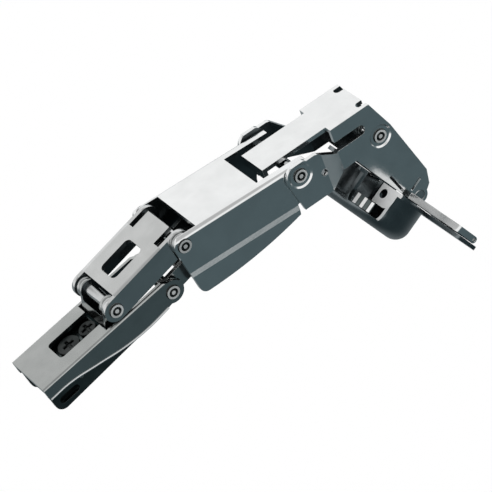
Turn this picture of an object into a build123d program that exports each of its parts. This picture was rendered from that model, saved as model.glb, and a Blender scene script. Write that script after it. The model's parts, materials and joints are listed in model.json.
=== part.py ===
"""Wide-angle concealed cup hinge, shown fully open, in millimetres.

+X runs along the arm towards the cup, +Z points away from the cabinet side
and Y runs along the pivot pins. The origin lies on the clip seat under the arm.
"""
from build123d import *
from math import atan2, cos, degrees, hypot, radians, sin
import os

os.makedirs("parts", exist_ok=True)

# Pivot places in the side view, (x, z), with the hinge fully open
ARM_REAR_PIVOT = (11.0, 14.0)
ARM_FRONT_PIVOT = (28.4, 4.5)
REAR_LINK_RUN = (28.0, 3.0)
MID_BOX_RUN = (41.7, -9.0)
FRONT_LINK_TILT = -9.5
SPRING_PIN_PLACE = (31.8, -9.3)
CUP_PIVOT_PLACE = (37.4, -38.2)

# Sheet, pins and running room
SHEET = 1.5
PIN_RADIUS = 2.0
HEAD_RADIUS = 2.5
HEAD_HEIGHT = 0.6
HEAD_CUP_RADIUS = 1.5
HEAD_CUP_DEPTH = 0.35
HEAD_NUB_RADIUS = 0.7
HEAD_TAPER = 25
RUNNING_ROOM = 0.05
FIXED_ROOM = 0.01
SIDE_ROOM = 0.1
LAYER_ROOM = 0.2
FOLD_RADIUS = 1.4

# Longer than any piece, for cuts that go right through
CUT = 300.0

# Washers between the plates, and half widths of the layers, all from the arm's
ARM_WASHER = 0.9
BOX_WASHER = 0.95
CARRIER_ROOM = 0.3
LINK_INSET = 0.05
ARM_HALF = 10.2
CARRIER_HALF = ARM_HALF - SHEET - CARRIER_ROOM
BRACKET_HALF = CARRIER_HALF - SHEET + LAYER_ROOM - SIDE_ROOM
LEVER_HALF = ARM_HALF - SHEET - ARM_WASHER - SIDE_ROOM
LUG_HALF = LEVER_HALF - SHEET - LAYER_ROOM
REAR_LINK_HALF = ARM_HALF - LINK_INSET
MID_BOX_HALF = REAR_LINK_HALF + SIDE_ROOM + BOX_WASHER + SHEET
FRONT_ARM_HALF = MID_BOX_HALF + SHEET + SIDE_ROOM
FRONT_LINK_HALF = 8.65

# Arm and the clip carrier inside it
ARM_BACK = -21.2
ARM_TOP = 9.6
ARM_WALL_BACK = 5.0
ARM_WALL_KNEE = -13.4
ARM_WALL_BEND = (-3.1, 3.0)
ARM_WALL_DIP = (7.0, 0.9)
ARM_WALL_LOW = (15.9, 0.3)
ARM_WALL_RISE = (26.1, 1.2)
ARM_EYE = 4.0
WINDOW_BACK = -10.3
WINDOW_HALF = 4.45
WINDOW_FRONT = 5.2
CARRIER_DROP = 1.5
CARRIER_BACK = -20.9
CARRIER_FOOT_BACK = -3.2
CARRIER_NOSE = (21.0, 4.2)
CARRIER_TOE = (22.5, -0.9)
CARRIER_CORNER = 3.0
CARRIER_SLOT = (-15.1, 0.3)
CARRIER_SLOT_LENGTH = 7.5
CARRIER_SLOT_HEIGHT = 2.6

# Adjusting screws in the window of the arm
SCREW_RADIUS = 2.0
SCREW_FOOT = 5.0
SCREW_HEAD_HEIGHT = 1.5
SIDE_SCREW_X = 2.2
SIDE_SCREW_HEAD = 3.0
DEPTH_SCREW_X = -5.4
DEPTH_SCREW_HEAD = 3.8
CROSS_LENGTH = 4.0
CROSS_WIDTH = 1.0
CROSS_DEPTH = 1.0

# Release lever at the back of the carrier
RELEASE_PIVOT = (-9.0, 2.8)
RELEASE_PIN_RADIUS = 1.0
RELEASE_HALF = 6.0
RELEASE_TAIL = 11.4
RELEASE_THICK = 1.4
RELEASE_BOSS = 1.8
RELEASE_DROP = 2.4

# Links
LINK_EYE = 3.9
BRACKET_EYE = 3.4
LINK_TOP = 4.1
LINK_FACE_START = 2.5
LINK_FACE_END = 22.4
TONGUE_HALF = 6.2
TONGUE_REACH = 1.1
LINK_WINDOW = (12.6, 8.6)
LINK_WINDOW_CENTRE = 12.6
LINK_WINDOW_CORNER = 1.8
LEVER_EYE = 3.3
BOX_EYE = 3.4
BOX_TOP = 3.2
BOX_TOP_START = 6.0
BOX_HEEL = (0.4, -19.2)
BOX_BELLY = (21.3, -17.5)
BOX_TOE = (39.2, -13.4)
BOX_INSTEP = (39.5, -10.0)
BOX_CHIN = (44.5, -8.5)
BOX_FRONT_EYE = 5.0
BOX_CREASE = (-10.2, -11.7)
BOX_JOGGLE = 0.5
BOX_CUTOUT_START = 30.0
FRONT_TOP = 3.8
FRONT_TONGUE = 8.0
FRONT_TONGUE_HALF = 6.0
FRONT_TONGUE_LIP = 4.0
FRONT_EYE = 5.0
FRONT_EYE_TOP = 4.45
FRONT_ARM_BACK = -2.5
FRONT_ARM_DROP = 12.0
FRONT_CORNER = 31.5
FRONT_SHOULDER = (36.3, -7.6)
FRONT_CHEEK = (42.9, -30.8)
FRONT_CHIN = (42.2, -36.1)
FRONT_JOGGLE = (8.5, 16.5)
FRONT_NOTCH_LENGTH = 3.0
FRONT_NOTCH_WIDTH = 2.7
FRONT_NOTCH_PLACE = 6.15
LEG_BACK_TOP = 21.4
LEG_BACK_END = (32.5, -34.4)
ARM_EDGE_TOP = (3.6, 4.6)
ARM_EDGE_BEND = (7.4, 3.5)
SLOT_TOP = -1.2
SLOT_BOTTOM = -4.7
SLOT_BACK = 15.6
SLOT_END = 26.0
DISH_DEPTH = 0.5
DISH_ANGLE = 45
FRONT_DISH = 4.2
SPRING_DISH = 4.0
CUP_EYE = 3.2
BACK_SLIT = ((31.45, -28.85), (32.6, -32.4))
FRONT_SLIT = ((37.65, -33.35), (35.8, -34.3))
SLIT_WIDTH = 0.8
PLATE_HOLE_PLACE = (7.8, -4.0)
PLATE_HOLE_RADIUS = 1.25

# Closing spring round the spring pin
SPRING_COIL_RADIUS = 3.3
SPRING_WIRE_RADIUS = 0.6
SPRING_TURNS = 6
SPRING_PITCH = 1.5

# Cup, flange, clamping flaps and toothed jaws
CUP_TURN = 17.0
CUP_PIVOT_ASIDE = 10.5
CUP_PIVOT_HEIGHT = 4.45
CUP_RADIUS = 17.5
CUP_WALL = 1.2
CUP_DEPTH = 12.2
CUP_BOTTOM_FILLET = 5.0
RIM_RADIUS = 19.5
FLANGE_THICK = 1.3
FLANGE_HALF = 34.0
FLANGE_START = 9.0
FLANGE_WIDTH = 11.5
FLANGE_CORNER = 2.5
CUP_EAR_HALF = 6.9
CUP_EAR_RADIUS = 3.3
CUP_WINDOW_START = 5.0
CUP_WINDOW_INNER = 9.0
CUP_WINDOW_BOTTOM = -9.6
TAB_INNER = 8.2
TAB_BOTTOM = -5.5
TAB_CORNER = 3.0
TAB_HOLE_PLACE = (11.0, -1.65)
TAB_HOLE_RADIUS = 1.6
FLAP_START = 5.2
FLAP_END_START = 9.3
FLAP_AXIS = (18.0, 2.7)
FLAP_INNER = 10.4
FLAP_MARGIN = 1.5
FLAP_OUTER = FLANGE_HALF - FLAP_MARGIN
FLAP_TOP = 3.9
FLAP_WALL = 1.0
FLAP_LIFT = 0.3
FLAP_KNUCKLE = 1.2
FLAP_CORNER = 2.0
FLAP_PIN_RADIUS = 0.6
FLAP_LUG = 20.0
FLAP_LUG_THICK = 2.0
FLAP_LUG_RADIUS = 1.0
JAW_TOP = -5.8
JAW_BOTTOM = -9.3
JAW_INNER = 15.9
JAW_OUTER = 16.9
JAW_MIDDLE = 42.0
JAW_SPREAD = 23.5
TOOTH_COUNT = 3
TOOTH_STEP = 8.5
TOOTH_WIDTH = 1.2


def side_plane(place, angle):
    """A plane in the side view: x along the link, y upwards, z towards -Y."""
    along = (cos(radians(angle)), 0, sin(radians(angle)))
    return Plane(origin=(place[0], 0, place[1]), x_dir=along, z_dir=(0, -1, 0))


def world(plane, u, v):
    """The side-view place of a point given along and across a link."""
    point = plane.from_local_coords((u, v, 0))
    return (point.X, point.Z)


REAR_TILT = degrees(atan2(REAR_LINK_RUN[1], REAR_LINK_RUN[0]))
REAR_LENGTH = hypot(*REAR_LINK_RUN)
BOX_TILT = degrees(atan2(MID_BOX_RUN[1], MID_BOX_RUN[0]))
BOX_LENGTH = hypot(*MID_BOX_RUN)

arm_plane = side_plane((0, 0), 0)
rear_plane = side_plane(ARM_REAR_PIVOT, REAR_TILT)
box_pivot = world(rear_plane, REAR_LENGTH, 0)
box_plane = side_plane(box_pivot, BOX_TILT)
front_pivot = world(box_plane, BOX_LENGTH, 0)
front_plane = side_plane(front_pivot, FRONT_LINK_TILT)
cup_pivot = world(front_plane, *CUP_PIVOT_PLACE)

# The inner lever is parallel to the rear link, so the mid box keeps its angle
lever_plane = side_plane(ARM_FRONT_PIVOT, REAR_TILT)
lever_pivot = world(lever_plane, REAR_LENGTH, 0)

# Cup axes: x away from the door edge, y along the pins, z out of the mouth
mouth_normal = (cos(radians(CUP_TURN)), 0, sin(radians(CUP_TURN)))
mouth_aside = (sin(radians(CUP_TURN)), 0, -cos(radians(CUP_TURN)))
mouth_centre = tuple(
    pivot - CUP_PIVOT_ASIDE * aside - CUP_PIVOT_HEIGHT * normal
    for pivot, aside, normal in zip((cup_pivot[0], 0, cup_pivot[1]), mouth_aside, mouth_normal)
)
cup_plane = Plane(origin=mouth_centre, x_dir=mouth_aside, z_dir=mouth_normal)


def local(plane, place):
    """A side-view place measured along and across a link."""
    point = plane.to_local_coords(Vector(place[0], 0, place[1]))
    return (point.X, point.Y)


def finish(part, name):
    """Label a finished piece and write its file."""
    part.label = name
    export_step(part, f"parts/{name}.step")


def make_pin(name, place, half, heads=True, radius=PIN_RADIUS):
    """A pin along Y with a low dished rivet head at each end."""
    with BuildPart() as pin:
        with BuildSketch(side_plane(place, 0)):
            Circle(radius)
        extrude(amount=half, both=True)
        if heads:
            for side in (-1, 1):
                with BuildSketch(side_plane(place, 0).offset(side * half)):
                    Circle(HEAD_RADIUS)
                extrude(amount=side * HEAD_HEIGHT, taper=HEAD_TAPER)
                with BuildSketch(side_plane(place, 0).offset(side * (half + HEAD_HEIGHT))):
                    Circle(HEAD_CUP_RADIUS)
                    Circle(HEAD_NUB_RADIUS, mode=Mode.SUBTRACT)
                extrude(amount=-side * HEAD_CUP_DEPTH, taper=HEAD_TAPER, mode=Mode.SUBTRACT)
    finish(pin.part, name)


def make_washers(name, place, inner, outer, radius):
    """A pair of washers that fill the room between two plates on a pin."""
    with BuildPart() as washers:
        for side in (-1, 1):
            with BuildSketch(side_plane(place, 0).offset(side * inner)):
                Circle(radius)
                Circle(PIN_RADIUS + RUNNING_ROOM, mode=Mode.SUBTRACT)
            extrude(amount=side * (outer - inner))
    finish(washers.part, name)


def pin_holes(plane, places, half, radius=PIN_RADIUS + RUNNING_ROOM):
    """Bore running holes for pins right through the piece being built."""
    with BuildSketch(plane) as holes:
        with Locations(*places):
            Circle(radius)
    extrude(holes.sketch, amount=half, both=True, mode=Mode.SUBTRACT)


# Arm shell: a channel with an open front, a window and an eye at each wall
with BuildPart() as arm_shell:
    with BuildSketch(arm_plane):
        with BuildLine():
            knee = (ARM_WALL_KNEE, ARM_WALL_BACK)
            Polyline(
                knee,
                (ARM_BACK, ARM_WALL_BACK),
                (ARM_BACK, ARM_TOP),
                (ARM_FRONT_PIVOT[0] - SHEET, ARM_TOP),
                (ARM_FRONT_PIVOT[0] + ARM_EYE, ARM_FRONT_PIVOT[1] + SHEET),
                ARM_WALL_RISE,
            )
            Spline(ARM_WALL_RISE, ARM_WALL_LOW, ARM_WALL_DIP, ARM_WALL_BEND, knee)
        make_face()
        with Locations(ARM_FRONT_PIVOT):
            Circle(ARM_EYE)
    extrude(amount=ARM_HALF, both=True)
    with BuildSketch(arm_plane):
        with Locations((0, ARM_TOP - SHEET)):
            Rectangle(CUT, CUT, align=(Align.CENTER, Align.MAX))
    extrude(amount=ARM_HALF - SHEET, both=True, mode=Mode.SUBTRACT)
    with BuildSketch(Plane.XY):
        with Locations((WINDOW_BACK, 0)):
            Rectangle(WINDOW_FRONT - WINDOW_BACK, 2 * WINDOW_HALF, align=(Align.MIN, Align.CENTER))
        with Locations((WINDOW_FRONT, 0)):
            Rectangle(CUT, 2 * (ARM_HALF - SHEET), align=(Align.MIN, Align.CENTER))
    extrude(amount=ARM_TOP + SHEET, mode=Mode.SUBTRACT)
    top_edges = arm_shell.edges().filter_by(Axis.X).group_by(Axis.Z)[-1]
    outer_folds = top_edges.sort_by(Axis.Y)
    fillet([outer_folds[0], outer_folds[-1]], SHEET / 2)
    pin_holes(arm_plane, [ARM_FRONT_PIVOT], ARM_HALF + SHEET, PIN_RADIUS + FIXED_ROOM)
finish(arm_shell.part, "arm_shell")

# Clip carrier: the inner channel that clips onto the mounting plate
carrier_top = ARM_TOP - SHEET - CARRIER_DROP
with BuildPart() as clip_carrier:
    with BuildSketch(arm_plane):
        with BuildLine():
            Polyline(
                (CARRIER_BACK, CARRIER_FOOT_BACK),
                (CARRIER_BACK, carrier_top),
                (WINDOW_FRONT, carrier_top),
                CARRIER_NOSE,
                CARRIER_TOE,
                close=True,
            )
        make_face()
        with Locations(CARRIER_SLOT):
            SlotOverall(CARRIER_SLOT_LENGTH, CARRIER_SLOT_HEIGHT, mode=Mode.SUBTRACT)
    extrude(amount=CARRIER_HALF, both=True)
    fillet(clip_carrier.edges().filter_by(Axis.Y).group_by(Axis.Z)[0], CARRIER_CORNER)
    with BuildSketch(arm_plane):
        with Locations((0, carrier_top - SHEET)):
            Rectangle(CUT, CUT, align=(Align.CENTER, Align.MAX))
        with Locations((WINDOW_FRONT, 0)):
            Rectangle(CUT, CUT, align=(Align.MIN, Align.CENTER))
    extrude(amount=CARRIER_HALF - SHEET + LAYER_ROOM, both=True, mode=Mode.SUBTRACT)
    with BuildSketch(Plane.XY):
        with Locations((SIDE_SCREW_X, 0), (DEPTH_SCREW_X, 0)):
            Circle(SCREW_RADIUS + RUNNING_ROOM)
    extrude(amount=ARM_TOP, mode=Mode.SUBTRACT)
    pin_holes(arm_plane, [RELEASE_PIVOT], CARRIER_HALF + SHEET, RELEASE_PIN_RADIUS + FIXED_ROOM)
finish(clip_carrier.part, "clip_carrier")

# Front bracket: a back wall and two ears that carry the rear pivot
bracket_back = ARM_REAR_PIVOT[0] - LINK_EYE - SHEET
with BuildPart() as front_bracket:
    with BuildSketch(arm_plane):
        with Locations(ARM_REAR_PIVOT):
            Circle(BRACKET_EYE)
        with BuildLine():
            Polyline(
                (bracket_back, SHEET),
                (bracket_back, ARM_TOP - SHEET / 2),
                (ARM_REAR_PIVOT[0] - BRACKET_EYE, ARM_REAR_PIVOT[1]),
                (ARM_REAR_PIVOT[0] + BRACKET_EYE, ARM_REAR_PIVOT[1]),
                (ARM_REAR_PIVOT[0] + BRACKET_EYE + SHEET, SHEET),
                close=True,
            )
        make_face()
    extrude(amount=BRACKET_HALF, both=True)
    with BuildSketch(arm_plane):
        with Locations((bracket_back + SHEET, 2 * SHEET)):
            Rectangle(CUT, CUT, align=(Align.MIN, Align.MIN))
    extrude(amount=BRACKET_HALF - SHEET, both=True, mode=Mode.SUBTRACT)
    pin_holes(arm_plane, [ARM_REAR_PIVOT], BRACKET_HALF + SHEET, PIN_RADIUS + FIXED_ROOM)
finish(front_bracket.part, "front_bracket")


def make_screw(name, x, head_radius):
    """An adjusting screw with a cross recess, upright in the window."""
    with BuildPart() as screw:
        with BuildSketch(Plane.XY.offset(SCREW_FOOT)):
            with Locations((x, 0)):
                Circle(SCREW_RADIUS)
        extrude(amount=carrier_top - SCREW_FOOT + SIDE_ROOM)
        with BuildSketch(Plane.XY.offset(carrier_top + SIDE_ROOM)):
            with Locations((x, 0)):
                Circle(head_radius)
        extrude(amount=SCREW_HEAD_HEIGHT)
        with BuildSketch(Plane.XY.offset(carrier_top + SIDE_ROOM + SCREW_HEAD_HEIGHT)):
            with Locations((x, 0)):
                Rectangle(CROSS_LENGTH, CROSS_WIDTH)
                Rectangle(CROSS_WIDTH, CROSS_LENGTH)
        extrude(amount=-CROSS_DEPTH, mode=Mode.SUBTRACT)
    finish(screw.part, name)


make_screw("side_adjust_screw", SIDE_SCREW_X, SIDE_SCREW_HEAD)
make_screw("depth_adjust_screw", DEPTH_SCREW_X, DEPTH_SCREW_HEAD)

# Release lever: a boss on its pin with a thumb plate that reaches out at the back
with BuildPart() as release_lever:
    with BuildSketch(arm_plane):
        with Locations(RELEASE_PIVOT):
            Circle(RELEASE_BOSS)
        with Locations((RELEASE_PIVOT[0], RELEASE_PIVOT[1] - RELEASE_BOSS)):
            Rectangle(RELEASE_TAIL, RELEASE_THICK, align=(Align.MAX, Align.MIN))
        with Locations((RELEASE_PIVOT[0] + RELEASE_BOSS, RELEASE_PIVOT[1])):
            Rectangle(RELEASE_THICK, RELEASE_DROP, align=(Align.MAX, Align.MAX))
    extrude(amount=RELEASE_HALF, both=True)
    pin_holes(arm_plane, [RELEASE_PIVOT], RELEASE_HALF + SHEET, RELEASE_PIN_RADIUS + RUNNING_ROOM)
finish(release_lever.part, "release_lever")
make_pin("release_pin", RELEASE_PIVOT, CARRIER_HALF, heads=False, radius=RELEASE_PIN_RADIUS)

# Rear link: two eyed plates, a windowed face and a narrow tongue
with BuildPart() as rear_link:
    with BuildSketch(rear_plane):
        with Locations((REAR_LENGTH / 2, 0)):
            SlotOverall(REAR_LENGTH + 2 * LINK_EYE, 2 * LINK_EYE)
        with Locations((LINK_FACE_START, 0)):
            Rectangle(LINK_FACE_END - LINK_FACE_START, LINK_TOP, align=(Align.MIN, Align.MIN))
    extrude(amount=REAR_LINK_HALF, both=True)
    with BuildSketch(rear_plane):
        with Locations((0, LINK_TOP - SHEET)):
            Rectangle(CUT, CUT, align=(Align.CENTER, Align.MAX))
        with Locations((LINK_FACE_START, 0)):
            Rectangle(CUT, CUT, align=(Align.MAX, Align.CENTER))
        with Locations((LINK_FACE_END, 0)):
            Rectangle(CUT, CUT, align=(Align.MIN, Align.CENTER))
    extrude(amount=REAR_LINK_HALF - SHEET, both=True, mode=Mode.SUBTRACT)
    with BuildSketch(rear_plane):
        with Locations((LINK_FACE_END - SHEET, LINK_TOP)):
            Rectangle(
                REAR_LENGTH + TONGUE_REACH - LINK_FACE_END + SHEET,
                SHEET,
                align=(Align.MIN, Align.MAX),
            )
    extrude(amount=TONGUE_HALF, both=True)
    face_plane = Plane(
        origin=rear_plane.from_local_coords((LINK_WINDOW_CENTRE, 0, 0)),
        x_dir=rear_plane.x_dir,
        z_dir=rear_plane.y_dir,
    )
    with BuildSketch(face_plane):
        RectangleRounded(*LINK_WINDOW, LINK_WINDOW_CORNER)
    extrude(amount=LINK_TOP + SHEET, mode=Mode.SUBTRACT)
    pin_holes(rear_plane, [(0, 0), (REAR_LENGTH, 0)], REAR_LINK_HALF + SHEET)
finish(rear_link.part, "rear_link")

# Inner lever: two eyed plates joined by a web under their middle
with BuildPart() as inner_lever:
    with BuildSketch(lever_plane):
        with Locations((REAR_LENGTH / 2, 0)):
            SlotOverall(REAR_LENGTH + 2 * LEVER_EYE, 2 * LEVER_EYE)
    extrude(amount=LEVER_HALF, both=True)
    with BuildSketch(lever_plane):
        with Locations((REAR_LENGTH / 2, SHEET - LEVER_EYE)):
            Rectangle(CUT, CUT, align=(Align.CENTER, Align.MIN))
        with Locations((2 * LEVER_EYE, 0)):
            Rectangle(CUT, CUT, align=(Align.MAX, Align.CENTER))
        with Locations((REAR_LENGTH - 2 * LEVER_EYE, 0)):
            Rectangle(CUT, CUT, align=(Align.MIN, Align.CENTER))
    extrude(amount=LEVER_HALF - SHEET + SIDE_ROOM, both=True, mode=Mode.SUBTRACT)
    pin_holes(lever_plane, [(0, 0), (REAR_LENGTH, 0)], LEVER_HALF + SHEET)
finish(inner_lever.part, "inner_lever")

# Mid box: a joggled channel cut to its side outline, with an open front and two inner lugs
lug_place = local(box_plane, lever_pivot)
front_in_box = (BOX_LENGTH, 0)
box_section = Plane(origin=box_plane.origin, x_dir=(0, 1, 0), z_dir=box_plane.x_dir)
skirt_half = MID_BOX_HALF + BOX_JOGGLE


def channel_outline(inset):
    """Corners of the mid box's section, moved inwards by a sheet or not."""
    right = [
        (MID_BOX_HALF - inset, BOX_TOP - inset),
        (MID_BOX_HALF - inset, BOX_CREASE[0]),
        (skirt_half - inset, BOX_CREASE[1]),
        (skirt_half - inset, 2 * BOX_HEEL[1]),
    ]
    left = [(-y, v) for y, v in reversed(right)]
    return right + left


with BuildPart() as mid_box:
    with BuildSketch(box_section.offset(-2 * BOX_EYE)) as channel:
        with BuildLine():
            Polyline(*channel_outline(0), close=True)
        make_face()
        fillet(channel.vertices().group_by(Axis.Y)[-1], FOLD_RADIUS)
        with BuildLine():
            Polyline(*channel_outline(SHEET), close=True)
        make_face(mode=Mode.SUBTRACT)
    extrude(amount=BOX_LENGTH + 4 * BOX_EYE)
    with BuildSketch(box_plane):
        Circle(BOX_EYE)
        with Locations(front_in_box):
            Circle(BOX_FRONT_EYE)
        with BuildLine():
            ThreePointArc(BOX_HEEL, BOX_BELLY, BOX_TOE)
            Polyline(
                BOX_TOE,
                BOX_INSTEP,
                BOX_CHIN,
                (BOX_LENGTH + BOX_FRONT_EYE, 0),
                (BOX_LENGTH, BOX_TOP),
                (0, BOX_TOP),
                (-BOX_EYE, 0),
                BOX_HEEL,
            )
        make_face()
        with Locations((0, BOX_TOP)):
            Rectangle(CUT, CUT, align=(Align.CENTER, Align.MIN), mode=Mode.SUBTRACT)
    extrude(amount=skirt_half + SHEET, both=True, mode=Mode.INTERSECT)
    with BuildSketch(box_plane):
        with Locations((BOX_TOP_START, 0)):
            Rectangle(CUT, CUT, align=(Align.MAX, Align.CENTER))
    extrude(amount=MID_BOX_HALF - SHEET, both=True, mode=Mode.SUBTRACT)
    with BuildSketch(box_plane):
        with Locations((BOX_CUTOUT_START, 0)):
            Rectangle(CUT, CUT, align=(Align.MIN, Align.CENTER))
    extrude(amount=FRONT_LINK_HALF + SHEET / 2, both=True, mode=Mode.SUBTRACT)
    for lug_side in (-1, 1):
        with BuildSketch(box_plane.offset(lug_side * LUG_HALF)):
            with Locations(lug_place):
                Circle(LEVER_EYE)
                Rectangle(
                    2 * LEVER_EYE,
                    BOX_TOP - SHEET / 2 - lug_place[1],
                    align=(Align.CENTER, Align.MIN),
                )
        extrude(amount=-lug_side * SHEET)
    pin_holes(box_plane, [(0, 0), front_in_box, lug_place], LUG_HALF + SHEET, PIN_RADIUS + FIXED_ROOM)
    pin_holes(box_plane, [(0, 0), front_in_box], MID_BOX_HALF + SHEET, PIN_RADIUS + FIXED_ROOM)
finish(mid_box.part, "mid_box")

# Front link: a joggled and slotted plate on each side, a flat top and a tongue bent down at its end
front_inner = FRONT_LINK_HALF - SHEET
arm_inner = FRONT_ARM_HALF - SHEET + SIDE_ROOM
front_plan = Plane(origin=front_plane.origin, x_dir=front_plane.x_dir, z_dir=front_plane.y_dir)
with BuildPart() as front_link:
    for plate_side in (-1, 1):
        with BuildSketch(front_plan.offset(-CUT / 2)):
            with BuildLine():
                Polyline(
                    (-CUT, plate_side * FRONT_ARM_HALF),
                    (FRONT_JOGGLE[0], plate_side * FRONT_ARM_HALF),
                    (FRONT_JOGGLE[1], plate_side * FRONT_LINK_HALF),
                    (CUT, plate_side * FRONT_LINK_HALF),
                    (CUT, plate_side * front_inner),
                    (FRONT_JOGGLE[1] - SHEET / 2, plate_side * front_inner),
                    (FRONT_JOGGLE[0] - SHEET / 2, plate_side * arm_inner),
                    (-CUT, plate_side * arm_inner),
                    close=True,
                )
            make_face()
        extrude(amount=CUT)
    with BuildSketch(front_plane):
        Circle(FRONT_EYE)
        with BuildLine():
            Polyline(
                (0, FRONT_TOP),
                (FRONT_CORNER, FRONT_TOP),
                FRONT_SHOULDER,
                FRONT_CHEEK,
                FRONT_CHIN,
                (CUP_PIVOT_PLACE[0] + CUP_EYE / 2, CUP_PIVOT_PLACE[1] - CUP_EYE / 2),
                (CUP_PIVOT_PLACE[0] - CUP_EYE / 2, CUP_PIVOT_PLACE[1] - CUP_EYE / 2),
                LEG_BACK_END,
                (LEG_BACK_TOP, -FRONT_ARM_DROP),
                (FRONT_ARM_BACK, -FRONT_ARM_DROP),
                (-FRONT_EYE, 0),
                close=True,
            )
        make_face()
        with Locations(CUP_PIVOT_PLACE):
            Circle(CUP_EYE)
        with Locations((0, FRONT_EYE_TOP)):
            Rectangle(CUT, CUT, align=(Align.CENTER, Align.MIN), mode=Mode.SUBTRACT)
        with BuildLine():
            slot_middle = (SLOT_TOP + SLOT_BOTTOM) / 2
            slot_bow = (SLOT_TOP - SLOT_BOTTOM) / 2
            Polyline(
                (SLOT_END, SLOT_TOP),
                (FRONT_JOGGLE[1], SLOT_TOP),
                (FRONT_JOGGLE[1], ARM_EDGE_TOP[1]),
                ARM_EDGE_TOP,
                ARM_EDGE_BEND,
                (SLOT_BACK, SLOT_BOTTOM),
                (SLOT_END, SLOT_BOTTOM),
            )
            ThreePointArc(
                (SLOT_END, SLOT_BOTTOM),
                (SLOT_END + slot_bow, slot_middle),
                (SLOT_END, SLOT_TOP),
            )
        make_face(mode=Mode.SUBTRACT)
        for slit_middle, slit_end in (BACK_SLIT, FRONT_SLIT):
            SlotCenterPoint(slit_middle, slit_end, SLIT_WIDTH, mode=Mode.SUBTRACT)
    extrude(amount=FRONT_ARM_HALF + SHEET, both=True, mode=Mode.INTERSECT)
    with BuildSketch(front_plan.offset(FRONT_TOP - SHEET)):
        with Locations((-FRONT_TONGUE, 0)):
            Rectangle(
                FRONT_TONGUE + FRONT_JOGGLE[1],
                2 * FRONT_TONGUE_HALF,
                align=(Align.MIN, Align.CENTER),
            )
        with Locations((FRONT_JOGGLE[1], 0)):
            Rectangle(
                FRONT_CORNER - FRONT_JOGGLE[1],
                2 * FRONT_LINK_HALF,
                align=(Align.MIN, Align.CENTER),
            )
        with Locations((FRONT_CORNER, -FRONT_NOTCH_PLACE), (FRONT_CORNER, FRONT_NOTCH_PLACE)):
            SlotOverall(2 * FRONT_NOTCH_LENGTH, FRONT_NOTCH_WIDTH, mode=Mode.SUBTRACT)
    extrude(amount=SHEET)
    with BuildSketch(front_plane):
        with Locations((-FRONT_TONGUE, FRONT_TOP)):
            Rectangle(SHEET, FRONT_TONGUE_LIP, align=(Align.MIN, Align.MAX))
    extrude(amount=FRONT_TONGUE_HALF, both=True)
    for dish_place, dish_half, dish_radius in (
        ((0, 0), FRONT_ARM_HALF, FRONT_DISH),
        (SPRING_PIN_PLACE, FRONT_LINK_HALF, SPRING_DISH),
    ):
        for plate_side in (-1, 1):
            with BuildSketch(front_plane.offset(plate_side * dish_half)):
                with Locations(dish_place):
                    Circle(dish_radius)
            extrude(amount=-plate_side * DISH_DEPTH, taper=DISH_ANGLE, mode=Mode.SUBTRACT)
    pin_holes(front_plane, [(0, 0), CUP_PIVOT_PLACE], FRONT_ARM_HALF + SHEET)
    pin_holes(front_plane, [SPRING_PIN_PLACE], FRONT_ARM_HALF + SHEET, PIN_RADIUS + FIXED_ROOM)
    pin_holes(front_plane, [PLATE_HOLE_PLACE], FRONT_ARM_HALF + SHEET, PLATE_HOLE_RADIUS)
finish(front_link.part, "front_link")

# Closing spring: a coil of round wire on the spring pin
spring_place = world(front_plane, *SPRING_PIN_PLACE)
spring_length = SPRING_TURNS * SPRING_PITCH
spring_start = (spring_place[0], -spring_length / 2, spring_place[1])
with BuildPart() as closing_spring:
    with BuildLine() as coil:
        Helix(SPRING_PITCH, spring_length, SPRING_COIL_RADIUS, spring_start, (0, 1, 0))
    with BuildSketch(Plane(origin=coil.line @ 0, z_dir=coil.line % 0)):
        Circle(SPRING_WIRE_RADIUS)
    sweep(path=coil.line, is_frenet=True)
finish(closing_spring.part, "closing_spring")

# Hollow of the cup
mouth_axis = Axis(mouth_centre, mouth_normal)
with BuildPart() as hollow:
    with BuildSketch(cup_plane.offset(FLANGE_THICK)):
        Circle(CUP_RADIUS - CUP_WALL)
    extrude(amount=CUP_WALL - CUP_DEPTH - FLANGE_THICK)
    fillet(hollow.faces().sort_by(mouth_axis)[0].edges(), CUP_BOTTOM_FILLET - CUP_WALL)

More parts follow.
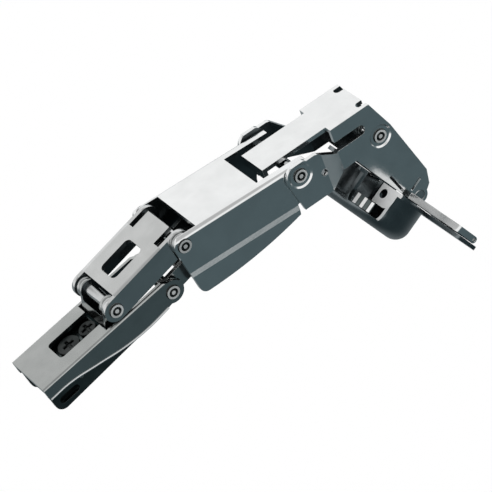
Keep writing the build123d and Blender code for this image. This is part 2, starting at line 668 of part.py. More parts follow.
# Cup: a drawn bowl with a flange, corner windows, tabs and two ears for the cup pin
ear_place = (CUP_PIVOT_ASIDE, CUP_PIVOT_HEIGHT)
cup_side_plane = Plane(origin=mouth_centre, x_dir=mouth_aside, z_dir=(0, -1, 0))
tab_origin = cup_plane.from_local_coords((-CUP_WINDOW_START, 0, 0))
tab_plane = Plane(origin=tab_origin, x_dir=(0, 1, 0), z_dir=mouth_aside)
with BuildPart() as cup:
    with BuildSketch(cup_plane):
        Circle(CUP_RADIUS)
    extrude(amount=-CUP_DEPTH)
    fillet(cup.faces().sort_by(mouth_axis)[0].edges(), CUP_BOTTOM_FILLET)
    with BuildSketch(cup_plane):
        Circle(RIM_RADIUS)
        with Locations((FLANGE_START + FLANGE_WIDTH / 2, 0)):
            RectangleRounded(FLANGE_WIDTH, 2 * FLANGE_HALF, FLANGE_CORNER)
    extrude(amount=FLANGE_THICK)
    add(hollow.part, mode=Mode.SUBTRACT)
    with BuildSketch(cup_plane.offset(FLANGE_THICK)):
        for window_side, window_align in ((-1, Align.MAX), (1, Align.MIN)):
            with Locations((-CUP_WINDOW_START, window_side * CUP_WINDOW_INNER)):
                Rectangle(CUT, CUT, align=(Align.MAX, window_align))
    extrude(amount=CUP_WINDOW_BOTTOM - FLANGE_THICK, mode=Mode.SUBTRACT)
    for tab_side, tab_align in ((-1, Align.MAX), (1, Align.MIN)):
        with BuildSketch(tab_plane) as tab:
            with Locations((tab_side * TAB_INNER, TAB_BOTTOM)):
                Rectangle(
                    CUP_RADIUS - CUP_WALL / 2 - TAB_INNER,
                    FLANGE_THICK - TAB_BOTTOM,
                    align=(tab_align, Align.MIN),
                )
            low_corners = tab.vertices().group_by(Axis.Y)[0].sort_by(Axis.X)
            fillet(low_corners[0 if tab_side < 0 else -1], TAB_CORNER)
            with Locations((tab_side * TAB_HOLE_PLACE[0], TAB_HOLE_PLACE[1])):
                Circle(TAB_HOLE_RADIUS, mode=Mode.SUBTRACT)
        extrude(amount=CUP_WALL)
    for ear_side in (-1, 1):
        with BuildSketch(cup_side_plane.offset(ear_side * CUP_EAR_HALF)):
            with Locations(ear_place):
                Circle(CUP_EAR_RADIUS)
                Rectangle(
                    2 * CUP_EAR_RADIUS,
                    CUP_DEPTH - CUP_WALL + SIDE_ROOM + CUP_PIVOT_HEIGHT,
                    align=(Align.CENTER, Align.MAX),
                )
        extrude(amount=-ear_side * SHEET)
    pin_holes(cup_side_plane, [ear_place], CUP_EAR_HALF + SHEET, PIN_RADIUS + FIXED_ROOM)
    for lug_side in (-1, 1):
        with BuildSketch(cup_side_plane.offset(lug_side * FLAP_LUG)):
            with Locations(FLAP_AXIS):
                Circle(FLAP_LUG_RADIUS)
                Rectangle(
                    2 * FLAP_LUG_RADIUS,
                    FLAP_AXIS[1] - FLANGE_THICK / 2,
                    align=(Align.CENTER, Align.MAX),
                )
        extrude(amount=lug_side * FLAP_LUG_THICK)
    pin_holes(cup_side_plane, [FLAP_AXIS], FLAP_OUTER, FLAP_PIN_RADIUS + FIXED_ROOM)
finish(cup.part, "cup")

# Clamp jaws: toothed shells in the cup's corner windows
tooth_depth = CUP_RADIUS - JAW_INNER
for jaw_side, jaw_name in ((-1, "near_jaw"), (1, "far_jaw")):
    jaw_angle = 180 - jaw_side * (90 - JAW_MIDDLE)
    jaw_reach = [(CUT, jaw_angle - JAW_SPREAD / 2), (CUT, jaw_angle + JAW_SPREAD / 2)]
    with BuildPart() as jaw:
        with BuildSketch(cup_plane.offset(JAW_TOP)):
            Circle(JAW_OUTER)
            Circle(JAW_INNER, mode=Mode.SUBTRACT)
            with BuildLine():
                Polyline(
                    (0, 0),
                    *[(r * cos(radians(turn)), r * sin(radians(turn))) for r, turn in jaw_reach],
                    close=True,
                )
            make_face(mode=Mode.INTERSECT)
            with PolarLocations(
                JAW_INNER,
                TOOTH_COUNT,
                start_angle=jaw_angle - TOOTH_STEP * (TOOTH_COUNT - 1) / 2,
                angular_range=TOOTH_STEP * TOOTH_COUNT,
            ):
                Rectangle(tooth_depth, TOOTH_WIDTH, align=(Align.MIN, Align.CENTER))
        extrude(amount=JAW_BOTTOM - JAW_TOP)
    finish(jaw.part, jaw_name)

# Clamping flaps: a hollow cover on each wing, hinged at its outer edge
flap_foot = FLANGE_THICK + FLAP_LIFT
for flap_side, side_name in ((-1, "near"), (1, "far")):
    with BuildPart() as flap:
        with BuildSketch(cup_plane.offset(flap_foot)):
            with BuildLine():
                Polyline(
                    (FLAP_START, flap_side * FLAP_INNER),
                    (FLAP_END_START, flap_side * FLAP_OUTER),
                    (FLAP_AXIS[0], flap_side * FLAP_OUTER),
                    (FLAP_AXIS[0], flap_side * FLAP_INNER),
                    close=True,
                )
            make_face()
        extrude(amount=FLAP_TOP - flap_foot)
        end_edges = flap.edges().filter_by(mouth_axis).group_by(Axis.Y)[0 if flap_side < 0 else -1]
        fillet(end_edges.sort_by(Axis(mouth_centre, mouth_aside))[0], FLAP_CORNER)
        with BuildSketch(cup_side_plane.offset(-flap_side * FLAP_INNER)):
            with Locations(FLAP_AXIS):
                Circle(FLAP_KNUCKLE)
        extrude(amount=-flap_side * (FLAP_OUTER - FLAP_INNER))
        with BuildSketch(cup_plane.offset(FLAP_TOP - FLAP_WALL)):
            with BuildLine():
                Polyline(
                    (FLAP_START + 2 * FLAP_WALL, flap_side * (FLAP_INNER + FLAP_WALL)),
                    (FLAP_END_START + 2 * FLAP_WALL, flap_side * (FLAP_OUTER - FLAP_WALL)),
                    (FLAP_AXIS[0] - FLAP_KNUCKLE, flap_side * (FLAP_OUTER - FLAP_WALL)),
                    (FLAP_AXIS[0] - FLAP_KNUCKLE, flap_side * (FLAP_INNER + FLAP_WALL)),
                    close=True,
                )
            make_face()
        extrude(amount=-FLAP_TOP, mode=Mode.SUBTRACT)
        with BuildSketch(cup_side_plane.offset(-flap_side * (FLAP_LUG - FLAP_LIFT))):
            with Locations((FLAP_AXIS[0] - FLAP_KNUCKLE - FLAP_LIFT, 0)):
                Rectangle(4 * FLAP_KNUCKLE, 4 * FLAP_TOP, align=(Align.MIN, Align.CENTER))
        extrude(amount=-flap_side * (FLAP_LUG_THICK + 2 * FLAP_LIFT), mode=Mode.SUBTRACT)
        pin_holes(cup_side_plane, [FLAP_AXIS], FLAP_OUTER, FLAP_PIN_RADIUS + RUNNING_ROOM)
    finish(flap.part, f"{side_name}_flap")
    with BuildPart() as flap_pin:
        with BuildSketch(cup_side_plane.offset(-flap_side * (FLAP_INNER + FLAP_WALL))):
            with Locations(FLAP_AXIS):
                Circle(FLAP_PIN_RADIUS)
        extrude(amount=-flap_side * (FLAP_OUTER - FLAP_INNER - 2 * FLAP_WALL))
    finish(flap_pin.part, f"{side_name}_flap_pin")

# Pivot pins, each fixed in one piece and running in the other
make_pin("arm_rear_pin", ARM_REAR_PIVOT, REAR_LINK_HALF + SIDE_ROOM)
make_pin("arm_front_pin", ARM_FRONT_PIVOT, ARM_HALF)
make_pin("box_rear_pin", box_pivot, MID_BOX_HALF)
make_pin("lever_pin", lever_pivot, LEVER_HALF + SIDE_ROOM)
make_pin("box_front_pin", front_pivot, FRONT_ARM_HALF - DISH_DEPTH + SIDE_ROOM)
make_pin("spring_pin", spring_place, FRONT_LINK_HALF - DISH_DEPTH)
make_pin("cup_pin", cup_pivot, FRONT_LINK_HALF, heads=False)

# Washers that keep the plates apart
rear_link_inner = REAR_LINK_HALF - SHEET - SIDE_ROOM
make_washers("arm_rear_washers", ARM_REAR_PIVOT, BRACKET_HALF, rear_link_inner, BRACKET_EYE)
make_washers("arm_front_washers", ARM_FRONT_PIVOT, LEVER_HALF + SIDE_ROOM, ARM_HALF - SHEET, LEVER_EYE)
make_washers("box_rear_washers", box_pivot, REAR_LINK_HALF + SIDE_ROOM, MID_BOX_HALF - SHEET, BOX_EYE)
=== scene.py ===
"""Looks of a wide-angle concealed cabinet hinge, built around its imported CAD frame."""
import json
import logging
import math
from dataclasses import dataclass, field
from enum import Enum
from typing import Dict, List, Sequence, Tuple

import bmesh
import bpy
from mathutils import Matrix, Vector


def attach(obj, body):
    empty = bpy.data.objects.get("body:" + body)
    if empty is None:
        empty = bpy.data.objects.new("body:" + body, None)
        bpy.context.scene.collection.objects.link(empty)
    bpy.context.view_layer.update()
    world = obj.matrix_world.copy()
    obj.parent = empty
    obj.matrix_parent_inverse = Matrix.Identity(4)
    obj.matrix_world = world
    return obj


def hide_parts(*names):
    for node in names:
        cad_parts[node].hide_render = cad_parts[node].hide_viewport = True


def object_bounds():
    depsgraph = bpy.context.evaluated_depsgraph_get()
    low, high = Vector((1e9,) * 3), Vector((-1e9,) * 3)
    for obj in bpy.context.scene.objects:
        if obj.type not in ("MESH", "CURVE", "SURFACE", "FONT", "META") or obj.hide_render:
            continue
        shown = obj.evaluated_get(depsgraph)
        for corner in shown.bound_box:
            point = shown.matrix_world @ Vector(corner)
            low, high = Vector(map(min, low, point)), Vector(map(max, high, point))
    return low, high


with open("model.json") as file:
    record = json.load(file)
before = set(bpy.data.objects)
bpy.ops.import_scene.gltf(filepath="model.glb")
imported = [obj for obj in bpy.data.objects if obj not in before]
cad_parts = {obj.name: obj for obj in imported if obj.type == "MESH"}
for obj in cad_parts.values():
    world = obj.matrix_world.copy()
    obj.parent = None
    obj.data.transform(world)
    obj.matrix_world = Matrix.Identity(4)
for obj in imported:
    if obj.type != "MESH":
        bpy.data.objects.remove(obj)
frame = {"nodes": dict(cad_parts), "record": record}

LOG = logging.getLogger("hinge")
MM = 0.001
CAD_LOW, CAD_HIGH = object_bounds()
Colour = Tuple[float, float, float]

# How a CAD mesh is cleaned and shaded, in millimetres and radians
WELD = 0.004
LARGEST_FACET = 40.0
SHALLOW_BEND = math.radians(35)
FLAT_JOIN = math.radians(0.5)
CORNER_STEPS = 6
EDGE_STEPS = 2
ROUND_PROFILE = 0.5

# How squarely a face has to look along an axis to count as facing it
SQUARE_ON = 0.9
ROUGHLY_DOWN = 0.8
ROUGHLY_SIDEWAYS = 0.7
SMALLEST_UNDERSIDE = 20.0

# Patterns of the plated metal, per metre
CLOUD_SCALE = 140.0
CLOUD_DETAIL = 3.0
CLOUD_BAND = (0.35, 0.65)
STREAK_SCALE = 900.0
STREAK_STRETCH = (0.12, 1.0, 1.0)
FINE_DETAIL = 2.0
BUMP_DEPTH = 0.02


class Edge(Enum):
    """How the cut edges of a piece are broken, as a width in millimetres."""

    BLANKED = 0.26
    TURNED = 0.1
    WIRE = 0.0


@dataclass(frozen=True)
class Finish:
    """A plated or plain metal surface.

    Args:
        name: Name of the material.
        tint: Base colour of the metal, linear.
        shade: Darker colour that the cloudy variation reaches.
        gloss: Lowest and highest roughness.
        grain: Size of the finest bumps in millimetres.
        relief: Strength of the bumps.
        metal: How metallic the surface is, from a chalky coat to bare metal.
    """

    name: str
    tint: Colour
    shade: Colour
    gloss: Tuple[float, float]
    grain: float
    relief: float
    metal: float = 1.0

    def material(self) -> bpy.types.Material:
        """Returns the node material of this finish, made once."""
        made = bpy.data.materials.get(self.name)
        if made is None:
            made = self._build()
        return made

    def _build(self) -> bpy.types.Material:
        """Builds the nodes: cloudy plating, fine grain, small scratches.

        Returns:
            The new material.
        """
        made = bpy.data.materials.new(self.name)
        made.use_nodes = True
        nodes, links = made.node_tree.nodes, made.node_tree.links
        shader = nodes["Principled BSDF"]
        shader.inputs["Metallic"].default_value = self.metal
        place = nodes.new("ShaderNodeTexCoord")
        cloud = nodes.new("ShaderNodeTexNoise")
        cloud.inputs["Scale"].default_value = CLOUD_SCALE
        cloud.inputs["Detail"].default_value = CLOUD_DETAIL
        links.new(place.outputs["Object"], cloud.inputs["Vector"])
        colours = nodes.new("ShaderNodeMix")
        colours.data_type = "RGBA"
        colours.inputs["A"].default_value = (*self.shade, 1.0)
        colours.inputs["B"].default_value = (*self.tint, 1.0)
        spread = nodes.new("ShaderNodeMapRange")
        spread.inputs["From Min"].default_value = CLOUD_BAND[0]
        spread.inputs["From Max"].default_value = CLOUD_BAND[1]
        links.new(cloud.outputs["Fac"], spread.inputs["Value"])
        links.new(spread.outputs["Result"], colours.inputs["Factor"])
        links.new(colours.outputs["Result"], shader.inputs["Base Color"])
        rough = nodes.new("ShaderNodeMapRange")
        rough.inputs["To Min"].default_value = self.gloss[0]
        rough.inputs["To Max"].default_value = self.gloss[1]
        streak = nodes.new("ShaderNodeTexNoise")
        streak.inputs["Scale"].default_value = STREAK_SCALE
        streak.inputs["Detail"].default_value = FINE_DETAIL
        stretch = nodes.new("ShaderNodeMapping")
        stretch.inputs["Scale"].default_value = STREAK_STRETCH
        links.new(place.outputs["Object"], stretch.inputs["Vector"])
        links.new(stretch.outputs["Vector"], streak.inputs["Vector"])
        links.new(streak.outputs["Fac"], rough.inputs["Value"])
        links.new(rough.outputs["Result"], shader.inputs["Roughness"])
        fine = nodes.new("ShaderNodeTexNoise")
        fine.inputs["Scale"].default_value = 1000.0 / self.grain
        fine.inputs["Detail"].default_value = FINE_DETAIL
        links.new(place.outputs["Object"], fine.inputs["Vector"])
        bump = nodes.new("ShaderNodeBump")
        bump.inputs["Strength"].default_value = self.relief
        bump.inputs["Distance"].default_value = BUMP_DEPTH * MM
        links.new(fine.outputs["Fac"], bump.inputs["Height"])
        links.new(bump.outputs["Normal"], shader.inputs["Normal"])
        return made


BRIGHT = Finish("bright_nickel", (0.86, 0.87, 0.87), (0.80, 0.81, 0.81), (0.10, 0.20), 0.5, 0.22)
# Darker copy of the bright nickel for the arm, its levers and bracket, and the flaps' broad faces:
# painted shade.
SHADED_NICKEL = Finish("painted_shade_nickel", (0.47, 0.485, 0.48), (0.42, 0.435, 0.43), (0.12, 0.22), 0.4, 0.16)
# Darker copy of the bright nickel for the rear link: painted shade.
HALF_SHADED_NICKEL = Finish("half_shaded_nickel", (0.66, 0.67, 0.67), (0.60, 0.61, 0.61), (0.10, 0.20), 0.4, 0.16)
DRAWN = Finish("drawn_nickel", (0.20, 0.225, 0.235), (0.14, 0.165, 0.175), (0.18, 0.30), 0.6, 0.22)
RIVET = Finish("rivet_nickel", (0.62, 0.63, 0.63), (0.50, 0.51, 0.51), (0.12, 0.22), 0.25, 0.08)
DARK = Finish("dark_steel", (0.20, 0.22, 0.22), (0.13, 0.15, 0.15), (0.25, 0.38), 0.3, 0.12)
# Near black finish of the clip carrier and of the jaws between their teeth: painted shade.
SHADE_BLACK = Finish("painted_shade_black", (0.13, 0.15, 0.15), (0.08, 0.10, 0.10), (0.18, 0.30), 0.3, 0.12)
# Pale, barely metallic finish of the cup's tab faces: painted highlight standing for their
# reflection.
TAB_HIGHLIGHT = Finish("painted_tab_highlight", (0.92, 0.93, 0.93), (0.78, 0.80, 0.80), (0.30, 0.50), 0.3, 0.3, 0.15)
# Pale, less metallic finish of the rivets' rims and nubs: painted highlight.
RIM_HIGHLIGHT = Finish("painted_rim_highlight", (0.60, 0.62, 0.62), (0.36, 0.38, 0.38), (0.18, 0.32), 0.25, 0.1, 0.4)
# Near black finish of the adjusting screws, the lever's skirts and the rivets' hollows: painted
# shade.
DEEP_SHADE = Finish("painted_deep_shade", (0.055, 0.06, 0.06), (0.03, 0.035, 0.035), (0.25, 0.40), 0.3, 0.12)
# Dark finish on inward faces and undersides of folded sheets: painted shade.
INNER_SHADE = Finish("painted_inner_shade", (0.11, 0.125, 0.13), (0.06, 0.07, 0.075), (0.22, 0.40), 0.5, 0.2)

# Light that the metal mirrors, by height from straight below to straight above
SURROUND: Tuple[Tuple[float, Colour], ...] = (
    (0.0, (0.085, 0.115, 0.125)),
    (0.33, (0.075, 0.110, 0.122)),
    (0.41, (0.15, 0.19, 0.20)),
    (0.465, (0.26, 0.29, 0.30)),
    (0.51, (1.0, 1.0, 1.0)),
    (0.785, (1.0, 1.0, 1.0)),
    (0.825, (0.80, 0.80, 0.79)),
    (0.87, (0.55, 0.55, 0.55)),
    (1.0, (0.50, 0.50, 0.50)),
)
FAR_FLOOR: Colour = (0.26, 0.29, 0.30)
FAR_FLOOR_START, FAR_FLOOR_FULL = -0.35, 0.45


@dataclass(frozen=True)
class Corner:
    """A sheet corner that is rounded, on both sides of the middle plane.

    Args:
        place: A point near the middle of the corner's edge, in millimetres, on the far side.
        radius: Radius of the corner in millimetres.
    """

    place: Tuple[float, float, float]
    radius: float

    def round_off(self, work: bmesh.types.BMesh) -> None:
        """Rounds the nearest edge on each side.

        Args:
            work: The mesh being dressed.
        """
        x, y, z = self.place
        for side in (-1, 1):
            target = Vector((x, side * y, z)) * MM
            edge = min(
                work.edges, key=lambda e: ((e.verts[0].co + e.verts[1].co) / 2 - target).length
            )
            bmesh.ops.bevel(
                work,
                geom=[edge],
                offset=self.radius * MM,
                segments=CORNER_STEPS,
                profile=ROUND_PROFILE,
                affect="EDGES",
            )


def is_curved(face: bmesh.types.BMFace) -> bool:
    """Tells a facet of a curved surface from a flat face.

    Args:
        face: A face of a piece.

    Returns:
        True where most of the facet's outline is a shallow bend and the facet is small.
    """
    if face.calc_area() > LARGEST_FACET * MM * MM:
        return False
    outline = sum(edge.calc_length() for edge in face.edges)
    shallow = sum(
        edge.calc_length()
        for edge in face.edges
        if len(edge.link_faces) == 2 and FLAT_JOIN < edge.calc_face_angle() < SHALLOW_BEND
    )
    return shallow > outline / 2


def refined(node: str, edge: Edge, corners: Sequence[Corner] = ()) -> bpy.types.Object:
    """Makes a smooth piece with broken edges from a CAD node's own mesh.

    Args:
        node: Name of the CAD node.
        edge: How the edges are broken.
        corners: Corners that are rounded first.

    Returns:
        The new piece, which stands for the node.
    """
    source = frame["nodes"][node]
    mesh = source.data.copy()
    mesh.name = f"{node}_skin"
    mesh.materials.clear()
    work = bmesh.new()
    work.from_mesh(mesh)
    bmesh.ops.remove_doubles(work, verts=work.verts, dist=WELD * MM)
    bmesh.ops.dissolve_limit(
        work, angle_limit=FLAT_JOIN, verts=work.verts, edges=work.edges, delimit=set()
    )
    for corner in corners:
        corner.round_off(work)
    for face in work.faces:
        face.smooth = is_curved(face)
        face.material_index = 0
    work.to_mesh(mesh)
    work.free()
    piece = bpy.data.objects.new(f"{node}_skin", mesh)
    bpy.context.scene.collection.objects.link(piece)
    if edge.value > 0:
        broken = piece.modifiers.new("broken_edges", "BEVEL")
        broken.width = edge.value * MM
        broken.segments = EDGE_STEPS
        broken.limit_method = "ANGLE"
        broken.angle_limit = SHALLOW_BEND
        broken.use_clamp_overlap = True
    return piece


@dataclass
class Group:
    """Pieces of one sub-assembly, each made from its CAD node.

    Args:
        finishes: Finish of each node.
        edges: Edge of each node that isn't blanked sheet.
        corners: Corners of a node that are rounded.
        channels: Nodes whose inward faces and large undersides get painted shade.
        rivets: Pins with a cupped head at each end.
        rim_radius: Radius in millimetres outside which a flat face is a rivet's rim.
        cup_radius: Radius in millimetres inside which a face is in the hollow of a rivet's head.
        nub_radius: Radius in millimetres of the nub in that hollow.
        shank_radius: Radius in millimetres that only a head goes past.
    """

    finishes: Dict[str, Finish] = field(default_factory=dict)
    edges: Dict[str, Edge] = field(default_factory=dict)
    corners: Dict[str, Tuple[Corner, ...]] = field(default_factory=dict)
    channels: Tuple[str, ...] = ()
    rivets: Tuple[str, ...] = ()
    rim_radius: float = 1.45
    cup_radius: float = 1.55
    nub_radius: float = 0.75
    shank_radius: float = 2.1

    def dress_rivet(self, piece: bpy.types.Object) -> None:
        """Gives a rivet's heads a bright rim and nub, painted highlight, and a dark hollow and
        flank, painted shade.

        Args:
            piece: A pin along Y with a cupped head at each end.
        """
        piece.data.materials.append(RIM_HIGHLIGHT.material())
        piece.data.materials.append(DEEP_SHADE.material())
        places = [vertex.co for vertex in piece.data.vertices]
        spread_x, spread_z = [p.x for p in places], [p.z for p in places]
        middle_x = (min(spread_x) + max(spread_x)) / 2
        middle_z = (min(spread_z) + max(spread_z)) / 2
        for face in piece.data.polygons:
            radii = [
                math.hypot(places[index].x - middle_x, places[index].z - middle_z) / MM
                for index in face.vertices
            ]
            flat = abs(face.normal.y) > SQUARE_ON
            on_rim = flat and min(radii) > self.rim_radius
            on_nub = flat and max(radii) < self.nub_radius
            if on_rim or on_nub:
                face.material_index = 1
            elif max(radii) < self.cup_radius or max(radii) > self.shank_radius:
                face.material_index = 2

    def body_of(self, node: str) -> str:
        """Returns the name of the body that carries a node."""
        bodies = frame["record"]["behaviour"]["bodies"]
        return next(name for name, members in bodies.items() if node in members)

    def paint_inner_shade(self, piece: bpy.types.Object) -> None:
        """Gives the faces that look inwards or down a dark finish, painted shade.

        Args:
            piece: A folded sheet.
        """
        piece.data.materials.append(INNER_SHADE.material())
        for face in piece.data.polygons:
            inwards = face.normal.y * face.center.y < 0 and abs(face.normal.y) > ROUGHLY_SIDEWAYS
            underside = face.normal.z < -ROUGHLY_DOWN and face.area > SMALLEST_UNDERSIDE * MM * MM
            if inwards or underside:
                face.material_index = 1

    def pick_out(self, node: str, piece: bpy.types.Object) -> None:
        """Gives some faces of a piece another finish, where a group has such faces."""

    def build(self) -> List[bpy.types.Object]:
        """Builds and dresses every piece of the group.

        Returns:
            The new pieces.
        """
        made = []
        for node, finish in self.finishes.items():
            piece = refined(node, self.edges.get(node, Edge.BLANKED), self.corners.get(node, ()))
            piece.data.materials.append(finish.material())
            if node in self.channels:
                self.paint_inner_shade(piece)
            if node in self.rivets:
                self.dress_rivet(piece)
            self.pick_out(node, piece)
            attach(piece, self.body_of(node))
            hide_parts(node)
            LOG.info("%s: %d faces", piece.name, len(piece.data.polygons))
            made.append(piece)
        return made


@dataclass
class Arm(Group):
    """The clip-on arm with its carrier, bracket, screws and release lever.

    Args:
        hem_line: Points of the wall's lower edge in the side view, in millimetres.
        hem_half: Half the distance between the two hems in millimetres.
        hem_radius: Radius of the rolled hem in millimetres.
        skirt_low: Lowest corner of the thumb lever's far skirt in millimetres.
        skirt_high: Highest corner of that skirt in millimetres.
        skirt_corner: Radius of the skirt's corners in millimetres.
        skirt_steps: Facets in each of those corners.
        hem_steps: Facets in a quarter of the hem's section, less one.
    """

    finishes: Dict[str, Finish] = field(default_factory=lambda: {
        "arm_shell": SHADED_NICKEL,
        # The carrier is painted black: painted shade inside the arm's window.
        "clip_carrier": SHADE_BLACK,
        "front_bracket": SHADED_NICKEL,
        "release_pin": RIVET,
        "release_lever": SHADED_NICKEL,
        # The adjusting screws are near black: painted shade inside the arm's window.
        "side_adjust_screw": DEEP_SHADE,
        "depth_adjust_screw": DEEP_SHADE,
        "arm_rear_pin": RIVET,
        "arm_front_pin": RIVET,
        "arm_rear_washers": RIVET,
        "arm_front_washers": RIVET,
    })
    corners: Dict[str, Tuple[Corner, ...]] = field(default_factory=lambda: {
        "arm_shell": (Corner((-10.3, 4.45, 8.85), 1.3),),
    })
    channels: Tuple[str, ...] = ("arm_shell", "front_bracket")
    rivets: Tuple[str, ...] = ("arm_rear_pin", "arm_front_pin")
    edges: Dict[str, Edge] = field(default_factory=lambda: {
        "arm_rear_pin": Edge.TURNED,
        "arm_front_pin": Edge.TURNED,
    })
    hem_line: Tuple[Tuple[float, float], ...] = (
        (-20.9, 5.0), (-13.4, 5.0), (-3.1, 3.0), (7.0, 0.9), (15.9, 0.3), (24.6, 0.95)
    )
    hem_half: float = 10.2
    hem_radius: float = 0.32
    hem_steps: int = 3
    skirt_low: Tuple[float, float, float] = (-20.2, 5.4, -2.0)
    skirt_high: Tuple[float, float, float] = (-10.4, 6.0, 1.6)
    skirt_corner: float = 1.2
    skirt_steps: int = 5

    def hems(self) -> List[bpy.types.Object]:
        """Makes the rolled hem along the lower edge of each wall.

        Returns:
            The two hems.
        """
        made = []
        for side, name in ((-1, "near_hem"), (1, "far_hem")):
            data = bpy.data.curves.new(name, "CURVE")
            data.dimensions = "3D"
            data.bevel_depth = self.hem_radius * MM
            data.bevel_resolution = self.hem_steps
            data.use_fill_caps = True
            line = data.splines.new("BEZIER")
            line.bezier_points.add(len(self.hem_line) - 1)
            for point, (x, z) in zip(line.bezier_points, self.hem_line):
                point.co = Vector((x, side * self.hem_half, z)) * MM
                point.handle_left_type = point.handle_right_type = "AUTO"
            data.materials.append(BRIGHT.material())
            hem = bpy.data.objects.new(name, data)
            bpy.context.scene.collection.objects.link(hem)
            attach(hem, "arm")
            made.append(hem)
        return made

    def skirts(self) -> bpy.types.Object:
        """Makes the side skirts of the thumb lever, behind the carrier's slots, near black: painted
        shade in the slots.

        Returns:
            The piece with both skirts.
        """
        work = bmesh.new()
        low, high = Vector(self.skirt_low) * MM, Vector(self.skirt_high) * MM
        for side in (-1, 1):
            skirt = bmesh.ops.create_cube(work, size=1.0)["verts"]
            bmesh.ops.scale(work, vec=high - low, verts=skirt)
            middle = (low + high) / 2
            bmesh.ops.translate(work, vec=(middle.x, side * middle.y, middle.z), verts=skirt)
        crosswise = [
            edge
            for edge in work.edges
            if abs((edge.verts[0].co - edge.verts[1].co).normalized().y) > SQUARE_ON
        ]
        bmesh.ops.bevel(
            work,
            geom=crosswise,
            offset=self.skirt_corner * MM,
            segments=self.skirt_steps,
            profile=ROUND_PROFILE,
            affect="EDGES",
        )
        mesh = bpy.data.meshes.new("release_lever_skirts")
        work.to_mesh(mesh)
        work.free()
        mesh.materials.append(DEEP_SHADE.material())
        piece = bpy.data.objects.new("release_lever_skirts", mesh)
        bpy.context.scene.collection.objects.link(piece)
        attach(piece, "release_lever")
        return piece

    def build(self) -> List[bpy.types.Object]:
        """Builds the arm's nodes, hems and skirts.

        Returns:
            The new pieces.
        """
        return [*super().build(), *self.hems(), self.skirts()]


@dataclass
class Linkage(Group):
    """The rear link, inner lever, mid box and front link with their rivets."""

    finishes: Dict[str, Finish] = field(default_factory=lambda: {
        "rear_link": HALF_SHADED_NICKEL,
        "inner_lever": SHADED_NICKEL,
        "mid_box": BRIGHT,
        "front_link": BRIGHT,
        "closing_spring": DARK,
        "box_rear_pin": RIVET,
        "lever_pin": RIVET,
        "box_front_pin": RIVET,
        "box_rear_washers": RIVET,
        "spring_pin": RIVET,
    })
    edges: Dict[str, Edge] = field(default_factory=lambda: {
        "closing_spring": Edge.WIRE,
        "box_rear_pin": Edge.TURNED,
        "box_front_pin": Edge.TURNED,
        "spring_pin": Edge.TURNED,
    })
    rivets: Tuple[str, ...] = ("box_rear_pin", "box_front_pin", "spring_pin")
    corners: Dict[str, Tuple[Corner, ...]] = field(default_factory=lambda: {
        "rear_link": (Corner((22.94, 10.15, 19.4), 1.4),),
        "mid_box": (Corner((35.34, 12.45, -1.85), 2.2),),
    })
    channels: Tuple[str, ...] = ("rear_link", "inner_lever", "mid_box", "front_link")


@dataclass
class Cup(Group):
    """The cup with its jaws, flaps and pins.

    Args:
        tab_place: Where the tabs' outer face lies across the cup's mouth in millimetres.
        tab_reach: How far from there a face still belongs to a tab.
        tooth_radius: Radius in millimetres inside which a jaw is painted black, painted shade.
    """

    finishes: Dict[str, Finish] = field(default_factory=lambda: {
        "cup": DRAWN,
        "near_jaw": BRIGHT,
        "far_jaw": BRIGHT,
        "near_flap": BRIGHT,
        "far_flap": BRIGHT,
        "cup_pin": RIVET,
        "near_flap_pin": RIVET,
        "far_flap_pin": RIVET,
    })
    tab_place: float = -5.0
    tab_reach: float = 0.3
    tooth_radius: float = 17.3

    def pick_out(self, node: str, piece: bpy.types.Object) -> None:
        """Paints the tabs' outer faces bright, a painted highlight, and the jaws between their
        teeth black and the flaps' broad faces grey, painted shade.

        Args:
            node: Name of the CAD node.
            piece: The piece that stands for it.
        """
        mount = next(m for m in frame["record"]["mounts"] if m["name"] == "cup_body")
        inwards = Vector(mount["axis"])
        aside = inwards.cross(Vector((0.0, 1.0, 0.0))).normalized()
        centre = Vector(mount["pos_m"])

        def on_tab(face: bpy.types.MeshPolygon) -> bool:
            """Tells whether a face is the outer face of a tab."""
            across = (face.center - centre).dot(aside) / MM
            near = abs(across - self.tab_place) < self.tab_reach
            return near and abs(face.normal.dot(aside)) > SQUARE_ON

        def behind_teeth(face: bpy.types.MeshPolygon) -> bool:
            """Tells whether a face lies further in than the teeth's tips."""
            offset = face.center - centre
            return (offset - inwards * offset.dot(inwards)).length / MM < self.tooth_radius

        def on_broad_side(face: bpy.types.MeshPolygon) -> bool:
            """Tells whether a face looks along the cup's axis."""
            return abs(face.normal.dot(inwards)) > SQUARE_ON

        for ending, finish, wanted in (
            ("cup", TAB_HIGHLIGHT, on_tab),
            ("jaw", SHADE_BLACK, behind_teeth),
            ("flap", SHADED_NICKEL, on_broad_side),
        ):
            if node.endswith(ending):
                piece.data.materials.append(finish.material())
                for face in piece.data.polygons:
                    if wanted(face):
                        face.material_index = 1


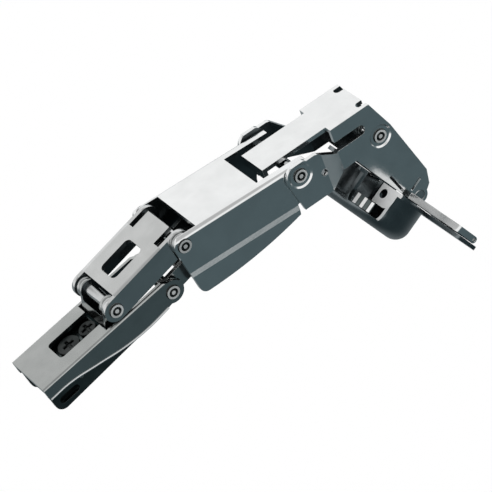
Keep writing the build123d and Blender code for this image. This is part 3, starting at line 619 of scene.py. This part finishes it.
@dataclass
class Studio:
    """Pale floor, soft light from all round and the camera of the photograph.

    Args:
        azimuth: Direction of the camera in degrees.
        elevation: Height of the camera in degrees.
        roll: Turn of the picture in degrees.
        distance: Distance of the camera in metres.
        focal_pixels: Focal length in pixels of the frame.
        frame_pixels: Width and height of the frame.
        anchor: A point of the object in metres.
        anchor_pixel: Where that point is in the picture.
        floor_drop: How far the floor lies below the object in metres, so that no shadow is seen.
        floor_half: Half the width of the floor in metres.
    """

    azimuth: float = -12.5
    elevation: float = 40.0
    roll: float = 34.0
    distance: float = 0.9
    focal_pixels: float = 3000.0
    frame_pixels: float = 492.0
    anchor: Tuple[float, float, float] = (0.011, -0.01095, 0.014)
    anchor_pixel: Tuple[float, float] = (117.5, 311.6)
    floor_drop: float = 1.0
    floor_half: float = 6.0

    def camera(self) -> bpy.types.Object:
        """Makes the camera and points it so that the anchor falls on its pixel.

        Returns:
            The camera.
        """
        turn, lift = math.radians(self.azimuth), math.radians(self.elevation)
        back = Vector((
            math.sin(turn) * math.cos(lift),
            -math.cos(turn) * math.cos(lift),
            math.sin(lift),
        ))
        data = bpy.data.cameras.new("camera")
        data.sensor_width = 36.0
        data.lens = self.focal_pixels / self.frame_pixels * data.sensor_width
        data.clip_start, data.clip_end = 0.01, 50.0
        eye = bpy.data.objects.new("camera", data)
        bpy.context.scene.collection.objects.link(eye)
        upright = (-back).to_track_quat("-Z", "Y").to_matrix()
        pose = upright @ Matrix.Rotation(math.radians(-self.roll), 3, "Z")
        half = self.frame_pixels / 2
        right = (self.anchor_pixel[0] - half) / self.focal_pixels * self.distance
        up = (half - self.anchor_pixel[1]) / self.focal_pixels * self.distance
        offset = pose @ Vector((right, up, -self.distance))
        eye.rotation_mode = "QUATERNION"
        eye.rotation_quaternion = pose.to_quaternion()
        eye.location = Vector(self.anchor) - offset
        bpy.context.scene.camera = eye
        return eye

    def floor(self) -> bpy.types.Object:
        """Makes the pale floor under the object.

        Returns:
            The floor.
        """
        mesh = bpy.data.meshes.new("floor")
        half, height = self.floor_half, CAD_LOW.z - self.floor_drop
        signs = ((-1, -1), (1, -1), (1, 1), (-1, 1))
        mesh.from_pydata([(x * half, y * half, height) for x, y in signs], [], [(0, 1, 2, 3)])
        plane = bpy.data.objects.new("floor", mesh)
        bpy.context.scene.collection.objects.link(plane)
        plane.visible_glossy = False
        pale = bpy.data.materials.new("pale_floor")
        pale.use_nodes = True
        shader = pale.node_tree.nodes["Principled BSDF"]
        shader.inputs["Base Color"].default_value = (1.0, 1.0, 1.0, 1.0)
        shader.inputs["Roughness"].default_value = 0.9
        shader.inputs["Specular IOR Level"].default_value = 0.0
        mesh.materials.append(pale)
        return plane

    def surround(self) -> None:
        """Makes the light from all round, which metal mirrors with a dark part in front below."""
        world = bpy.data.worlds.new("surround")
        bpy.context.scene.world = world
        world.use_nodes = True
        nodes, links = world.node_tree.nodes, world.node_tree.links
        nodes.clear()
        place = nodes.new("ShaderNodeTexCoord")
        split = nodes.new("ShaderNodeSeparateXYZ")
        links.new(place.outputs["Generated"], split.inputs["Vector"])
        height = nodes.new("ShaderNodeMapRange")
        height.inputs["From Min"].default_value = -1.0
        links.new(split.outputs["Z"], height.inputs["Value"])
        ramp = nodes.new("ShaderNodeValToRGB")
        marks = ramp.color_ramp.elements
        while len(marks) < len(SURROUND):
            marks.new(0.5)
        for mark, (position, colour) in zip(marks, SURROUND):
            mark.position = position
            mark.color = (*colour, 1.0)
        links.new(height.outputs["Result"], ramp.inputs["Fac"])
        behind = nodes.new("ShaderNodeMapRange")
        behind.interpolation_type = "SMOOTHSTEP"
        behind.inputs["From Min"].default_value = FAR_FLOOR_START
        behind.inputs["From Max"].default_value = FAR_FLOOR_FULL
        links.new(split.outputs["Y"], behind.inputs["Value"])
        below = nodes.new("ShaderNodeMath")
        below.operation = "LESS_THAN"
        below.inputs[1].default_value = 0.0
        links.new(split.outputs["Z"], below.inputs[0])
        far_floor = nodes.new("ShaderNodeMath")
        far_floor.operation = "MULTIPLY"
        links.new(behind.outputs["Result"], far_floor.inputs[0])
        links.new(below.outputs["Value"], far_floor.inputs[1])
        seen = nodes.new("ShaderNodeMix")
        seen.data_type = "RGBA"
        seen.inputs["B"].default_value = (*FAR_FLOOR, 1.0)
        links.new(far_floor.outputs["Value"], seen.inputs["Factor"])
        links.new(ramp.outputs["Color"], seen.inputs["A"])
        mirrored = nodes.new("ShaderNodeBackground")
        links.new(seen.outputs["Result"], mirrored.inputs["Color"])
        plain = nodes.new("ShaderNodeBackground")
        plain.inputs["Color"].default_value = (1.0, 1.0, 1.0, 1.0)
        plain.inputs["Strength"].default_value = 1.0
        path = nodes.new("ShaderNodeLightPath")
        choose = nodes.new("ShaderNodeMixShader")
        links.new(path.outputs["Is Glossy Ray"], choose.inputs["Fac"])
        links.new(plain.outputs["Background"], choose.inputs[1])
        links.new(mirrored.outputs["Background"], choose.inputs[2])
        out = nodes.new("ShaderNodeOutputWorld")
        links.new(choose.outputs["Shader"], out.inputs["Surface"])

    def build(self) -> None:
        """Sets up the view, the floor, the light and the camera."""
        bpy.context.scene.view_settings.view_transform = "Standard"
        self.surround()
        self.floor()
        self.camera()


def main() -> None:
    """Builds each sub-assembly and the studio, and reports each piece."""
    logging.basicConfig(level=logging.INFO, format="%(name)s %(message)s")
    for group in (Arm(), Linkage(), Cup()):
        pieces = group.build()
        LOG.info("%s: %d pieces", type(group).__name__, len(pieces))
    Studio().build()


if __name__ == "__main__":
    main()
